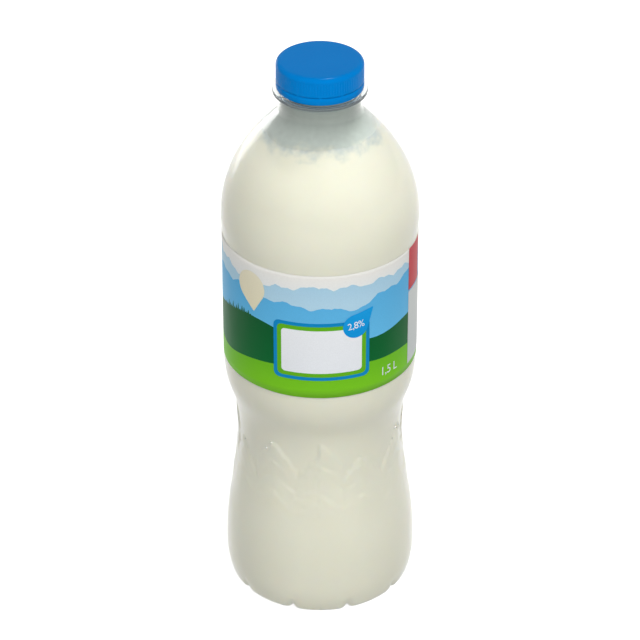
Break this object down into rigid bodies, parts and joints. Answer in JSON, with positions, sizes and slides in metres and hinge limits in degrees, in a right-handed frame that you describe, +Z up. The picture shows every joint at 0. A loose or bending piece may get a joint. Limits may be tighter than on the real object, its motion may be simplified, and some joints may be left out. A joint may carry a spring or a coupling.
{
  "type": "plastic milk bottle",
  "caption": "Clear waisted plastic bottle full of milk, with a blue screw cap, petal foot, raised peaks round the belly and a wrap-around landscape label.",
  "frame": {"origin": "on the floor, under the middle of the foot", "axes": "+Z up along the bottle's axis, -Y towards the front of the label"},
  "size_m": [0.0938, 0.0938, 0.2847],
  "materials": {
    "clear_pet": "clear, glossy",
    "milk": "opaque white liquid",
    "cap_blue": "semi-gloss",
    "label_film": "satin film, printed in green, blue and white"
  },
  "bodies": {
    "root": {"bottle": "clear_pet", "milk": "milk", "cap": "cap_blue", "label": "label_film"}
  },
  "joints": []
}
